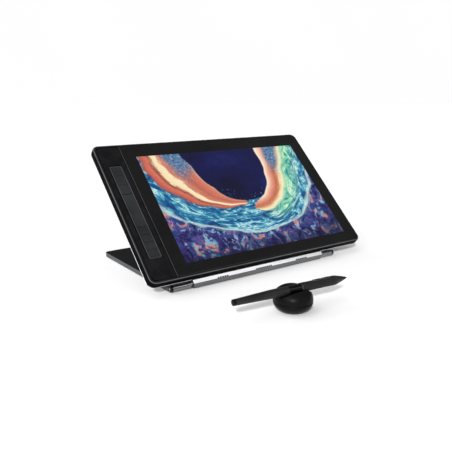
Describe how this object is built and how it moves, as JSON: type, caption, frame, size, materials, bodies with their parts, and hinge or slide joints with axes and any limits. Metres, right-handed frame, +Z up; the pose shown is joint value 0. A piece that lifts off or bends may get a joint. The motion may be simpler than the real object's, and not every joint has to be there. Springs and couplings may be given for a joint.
{
  "type": "pen drawing tablet",
  "caption": "Pen display with a side key strip on a folding metal stand, with its pen lying across a round pen holder.",
  "frame": {"origin": "centre of the whole set's footprint, on the desk", "axes": "+Z up from the desk, +X along the tablet's width to the user's right, +Y away from the user"},
  "size_m": [0.369, 0.3503, 0.1725],
  "materials": {
    "dark_aluminium": "dark satin anodised",
    "bright_aluminium": "fine brushed, clear anodised",
    "hinge_metal": "turned gunmetal",
    "steel": "bright",
    "dark_steel": "black zinc",
    "bronze": "satin",
    "copper": "enamelled wire",
    "cover_paint": "fine texture black",
    "polished_edge": "polished",
    "silicone": "matte",
    "black_plastic": "matte",
    "bezel_plastic": "satin",
    "woven_panel": "fine woven relief",
    "key_plastic": "satin",
    "touch_plastic": "satin gloss",
    "screen_glass": "etched anti-glare",
    "display": "lit picture",
    "white_sheet": "matte",
    "circuit_board": "solder mask",
    "light_pipe": "clear",
    "holder_plastic": "satin gloss",
    "pen_plastic": "satin",
    "pen_gloss": "gloss",
    "pen_grip_rubber": "fine texture",
    "nib_plastic": "matte"
  },
  "bodies": {
    "base": {"base_plate": "dark_aluminium", "base_feet": "silicone", "hinge_barrel_left": "hinge_metal", "hinge_barrel_right": "hinge_metal", "barrel_caps": "black_plastic", "base_screws": "steel"},
    "support": {"support_plate": "dark_aluminium", "retaining_lip": "bright_aluminium", "lip_grips": "silicone", "support_pads": "silicone", "hinge_pin_left": "steel", "hinge_pin_right": "steel", "lip_screws": "steel", "friction_washers": "bronze", "hinge_nuts": "steel"},
    "tablet": {"back_cover": "cover_paint", "edge_trim": "polished_edge", "mid_frame": "black_plastic", "front_bezel": "bezel_plastic", "key_panel": "woven_panel", "key_tray": "key_plastic", "touch_bar": "touch_plastic", "cover_glass": "screen_glass", "display_panel": "display", "backlight_unit": "white_sheet", "emr_sensor": "circuit_board", "shield_plate": "steel", "main_board": "circuit_board", "key_board": "circuit_board", "key_domes": "bronze", "usb_ports": "steel", "tablet_feet": "silicone", "cover_screws": "dark_steel", "status_light": "light_pipe"},
    "key_1": {"key_1": "key_plastic"},
    "key_2": {"key_2": "key_plastic"},
    "key_3": {"key_3": "key_plastic"},
    "key_4": {"key_4": "key_plastic"},
    "key_5": {"key_5": "key_plastic"},
    "key_6": {"key_6": "key_plastic"},
    "key_7": {"key_7": "key_plastic"},
    "power_button": {"power_button": "key_plastic"},
    "holder": {"holder_base": "holder_plastic", "holder_foot": "silicone", "nib_tray": "black_plastic", "spare_nibs": "nib_plastic", "nib_puller": "steel"},
    "holder_lid": {"holder_lid": "holder_plastic"},
    "pen": {"pen_barrel": "pen_plastic", "pen_end_cap": "pen_plastic", "pen_collar": "pen_gloss", "pen_trim": "dark_steel", "pen_grip": "pen_grip_rubber", "pen_nose": "pen_plastic", "pen_coil": "copper", "pen_board": "circuit_board", "nib_sensor": "steel"},
    "pen_nib": {"pen_nib": "nib_plastic"},
    "pen_button_rear": {"pen_button_rear": "pen_gloss"},
    "pen_button_front": {"pen_button_front": "pen_gloss"}
  },
  "joints": [
    {"name": "stand_tilt", "type": "hinge", "parent": "base", "child": "support", "pos_m": [0, -0.02185, 0.0055], "axis": [1, 0, 0], "range_deg": [-43.2, 17]},
    {"name": "tablet_lift", "type": "slide", "parent": "support", "child": "tablet", "axis": [0, -0.6845, 0.729], "range_m": [0, 0.06]},
    {"name": "key_1_press", "type": "slide", "parent": "tablet", "child": "key_1", "axis": [0, 0.6845, -0.729], "range_m": [0, 0.0005], "stiffness_N_per_m": 800, "springref_m": -0.0005},
    {"name": "key_2_press", "type": "slide", "parent": "tablet", "child": "key_2", "axis": [0, 0.6845, -0.729], "range_m": [0, 0.0005], "stiffness_N_per_m": 800, "springref_m": -0.0005},
    {"name": "key_3_press", "type": "slide", "parent": "tablet", "child": "key_3", "axis": [0, 0.6845, -0.729], "range_m": [0, 0.0005], "stiffness_N_per_m": 800, "springref_m": -0.0005},
    {"name": "key_4_press", "type": "slide", "parent": "tablet", "child": "key_4", "axis": [0, 0.6845, -0.729], "range_m": [0, 0.0005], "stiffness_N_per_m": 800, "springref_m": -0.0005},
    {"name": "key_5_press", "type": "slide", "parent": "tablet", "child": "key_5", "axis": [0, 0.6845, -0.729], "range_m": [0, 0.0005], "stiffness_N_per_m": 800, "springref_m": -0.0005},
    {"name": "key_6_press", "type": "slide", "parent": "tablet", "child": "key_6", "axis": [0, 0.6845, -0.729], "range_m": [0, 0.0005], "stiffness_N_per_m": 800, "springref_m": -0.0005},
    {"name": "key_7_press", "type": "slide", "parent": "tablet", "child": "key_7", "axis": [0, 0.6845, -0.729], "range_m": [0, 0.0005], "stiffness_N_per_m": 800, "springref_m": -0.0005},
    {"name": "power_press", "type": "slide", "parent": "tablet", "child": "power_button", "axis": [0, -0.729, -0.6845], "range_m": [0, 0.0005], "stiffness_N_per_m": 1000, "springref_m": -0.0005},
    {"name": "holder_place", "type": "slide", "parent": "base", "child": "holder", "axis": [0, -1, 0], "range_m": [0, 0.06]},
    {"name": "holder_twist", "type": "hinge", "parent": "holder", "child": "holder_lid", "pos_m": [-0.0657, -0.15185, 0.0125], "axis": [0, 0, 1], "range_deg": [0, 30]},
    {"name": "pen_lift", "type": "slide", "parent": "holder_lid", "child": "pen", "axis": [0, 0, 1], "range_m": [0, 0.08]},
    {"name": "nib_press", "type": "slide", "parent": "pen", "child": "pen_nib", "axis": [-0.9971, 0.0758, 0], "range_m": [0, 0.0008], "stiffness_N_per_m": 1500, "springref_m": -0.0002},
    {"name": "pen_button_rear_press", "type": "slide", "parent": "pen", "child": "pen_button_rear", "axis": [0, 0, -1], "range_m": [0, 0.0004], "stiffness_N_per_m": 1200, "springref_m": -0.0004},
    {"name": "pen_button_front_press", "type": "slide", "parent": "pen", "child": "pen_button_front", "axis": [0, 0, -1], "range_m": [0, 0.0004], "stiffness_N_per_m": 1200, "springref_m": -0.0004}
  ]
}
